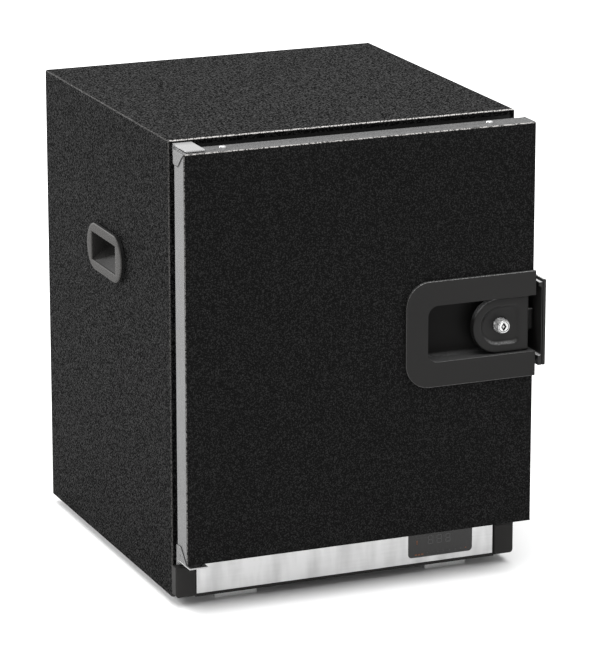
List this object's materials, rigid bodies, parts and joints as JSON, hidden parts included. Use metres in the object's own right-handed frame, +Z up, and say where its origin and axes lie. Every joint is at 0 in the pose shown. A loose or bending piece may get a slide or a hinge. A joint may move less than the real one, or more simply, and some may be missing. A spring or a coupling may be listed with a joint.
{
  "type": "lockable minibar refrigerator",
  "caption": "Compact black refrigerator with a side-hinged overlapping door, key-locking paddle pull and keeper, display fascia under the door and side carry cups.",
  "frame": {"origin": "centre of the closed object's bounding box in plan, on the plane its four feet stand on", "axes": "+Z up, -Y towards the person in front of the door, +X towards the keeper on the right"},
  "size_m": [0.4206, 0.445, 0.5125],
  "materials": {
    "wrapper_steel": "black powder coat with a fine pebble texture",
    "frame_steel": "smooth dark paint",
    "pan_steel": "galvanised sheet",
    "foam": "rigid insulating foam",
    "liner_white": "moulded white liner",
    "handle_grey": "satin grey moulding",
    "fin_aluminium": "plain aluminium",
    "fan_black": "black moulding",
    "ceramic": "ceramic thermoelectric plate",
    "supply_case": "folded sheet case",
    "inlet_black": "black socket moulding",
    "shelf_wire": "white coated wire",
    "lamp_diffuser": "frosted diffuser",
    "screw_steel": "plated steel",
    "foot_metal": "cast light metal",
    "block_grey": "dark grey moulding",
    "strip_bright": "polished bright strip",
    "window_smoke": "smoked glossy window",
    "digit_light": "dim display segments",
    "board_green": "circuit board",
    "hinge_metal": "bright hinge steel",
    "keeper_black": "satin black paint",
    "door_steel": "black powder coat with a pebble texture",
    "edge_grey": "satin light grey profile",
    "cap_grey": "grained light grey cap",
    "gasket_dark": "dark magnetic seal",
    "bush_black": "black bearing plastic",
    "latch_black": "satin black moulding",
    "lock_chrome": "chromed lock",
    "spring_steel": "spring steel",
    "rack_clear": "white moulded rack"
  },
  "bodies": {
    "cabinet": {"cabinet_wrapper": "wrapper_steel", "front_frame": "frame_steel", "base_pan": "pan_steel", "back_panel": "frame_steel", "cabinet_foam": "foam", "inner_liner": "liner_white", "carry_handle_left": "handle_grey", "carry_handle_right": "handle_grey", "cold_plate": "fin_aluminium", "fan_cover": "liner_white", "peltier_module": "ceramic", "heat_sink": "fin_aluminium", "rear_fan_frame": "fan_black", "rear_grille": "fan_black", "power_inlet": "inlet_black", "power_supply": "supply_case", "wire_shelf": "shelf_wire", "interior_lamp": "lamp_diffuser", "temperature_probe": "liner_white", "rear_screws": "screw_steel", "feet": "foot_metal", "foot_screws": "screw_steel", "corner_block_left": "block_grey", "corner_block_right": "block_grey", "fascia_carrier": "block_grey", "fascia_strip": "strip_bright", "display_window": "window_smoke", "display_board": "board_green", "display_digits": "digit_light", "hinge_plate_top": "hinge_metal", "hinge_plate_bottom": "hinge_metal", "hinge_pins": "hinge_metal", "hinge_screws": "screw_steel", "keeper_bracket": "keeper_black", "keeper_strike": "keeper_black", "keeper_screws": "screw_steel"},
    "door": {"door_skin": "door_steel", "door_edge_left": "edge_grey", "door_edge_right": "edge_grey", "door_edge_top": "edge_grey", "door_edge_bottom": "edge_grey", "door_corner_caps": "cap_grey", "door_foam": "foam", "door_liner": "liner_white", "door_rack_lower": "rack_clear", "door_rack_upper": "rack_clear", "door_gasket": "gasket_dark", "hinge_bushes": "bush_black", "door_screws": "screw_steel", "latch_escutcheon": "latch_black", "paddle_pin": "hinge_metal", "latch_spring": "spring_steel"},
    "paddle": {"latch_paddle": "latch_black", "lock_cylinder": "lock_chrome", "lock_nut": "lock_chrome"},
    "bolt": {"latch_bolt": "keeper_black"},
    "lock": {"lock_plug": "lock_chrome", "lock_cam": "hinge_metal"},
    "circulation_fan": {"circulation_fan_rotor": "fan_black"},
    "rear_fan": {"rear_fan_rotor": "fan_black"}
  },
  "joints": [
    {"name": "door_hinge", "type": "hinge", "parent": "cabinet", "child": "door", "pos_m": [-0.1917, -0.2005, 0.283], "axis": [0, 0, -1], "range_deg": [0, 120]},
    {"name": "paddle_pivot", "type": "hinge", "parent": "door", "child": "paddle", "pos_m": [0.1863, -0.21, 0.2848], "axis": [0, 0, 1], "range_deg": [0, 25], "stiffness_Nm_per_rad": 0.15, "springref_deg": -11.46},
    {"name": "bolt_slide", "type": "slide", "parent": "door", "child": "bolt", "axis": [1, 0, 0], "range_m": [-0.0072, 0]},
    {"name": "lock_turn", "type": "hinge", "parent": "paddle", "child": "lock", "pos_m": [0.1607, -0.2115, 0.2848], "axis": [0, 1, 0], "range_deg": [0, 90]},
    {"name": "circulation_fan_spin", "type": "hinge", "parent": "cabinet", "child": "circulation_fan", "pos_m": [-0.0057, 0.101, 0.35], "axis": [0, 1, 0], "continuous": true},
    {"name": "rear_fan_spin", "type": "hinge", "parent": "cabinet", "child": "rear_fan", "pos_m": [-0.0057, 0.2025, 0.35], "axis": [0, 1, 0], "continuous": true}
  ],
  "couplings": [
    {"joint": "bolt_slide", "follows": "paddle_pivot", "m_per_rad": -0.016}
  ]
}
